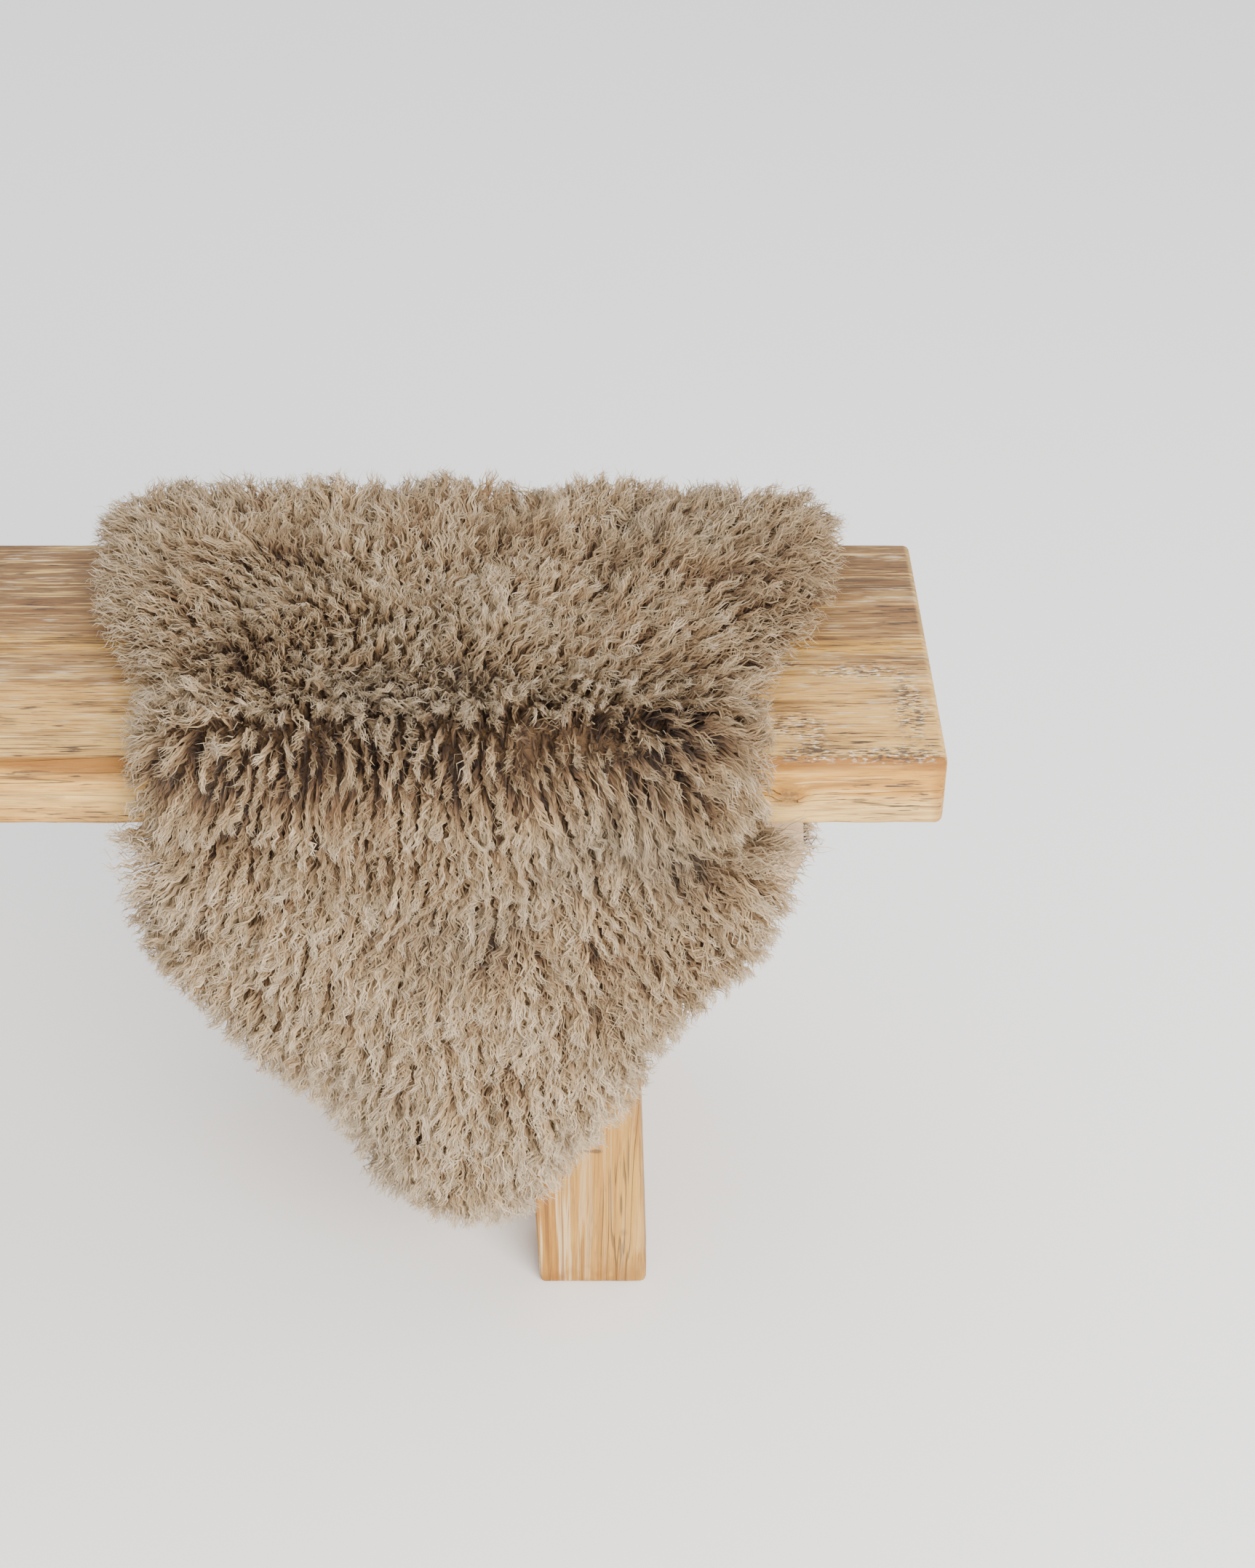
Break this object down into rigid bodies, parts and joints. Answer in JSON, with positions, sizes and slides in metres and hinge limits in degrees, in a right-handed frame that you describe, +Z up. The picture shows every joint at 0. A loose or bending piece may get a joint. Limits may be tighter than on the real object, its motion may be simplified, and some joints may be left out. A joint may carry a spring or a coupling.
{
  "type": "sheepskin rug on a wooden bench",
  "caption": "Natural long-wool sheepskin rug draped across the seat of a plain plank bench, its neck tongue hanging in front and its tail behind.",
  "frame": {"origin": "on the floor under the middle of the whole box", "axes": "+X along the bench, -Y the front, where the neck tongue hangs, +Z up"},
  "size_m": [1.1, 0.3882, 0.5184],
  "materials": {
    "wool": "wavy natural wool, taupe with paler tips",
    "hide_leather": "tanned suede flesh side",
    "seat_wood": "bare reclaimed pine, straw coloured, worn",
    "leg_wood": "bare reclaimed pine, honey coloured with pale streaks"
  },
  "bodies": {
    "root": {"fleece": "wool", "rim_front": "wool", "rim_back": "wool", "rim_right": "wool", "rim_left": "wool", "bench_seat": "seat_wood", "leg_front_right": "leg_wood", "leg_front_left": "leg_wood", "leg_back_right": "leg_wood", "leg_back_left": "leg_wood"}
  },
  "joints": []
}
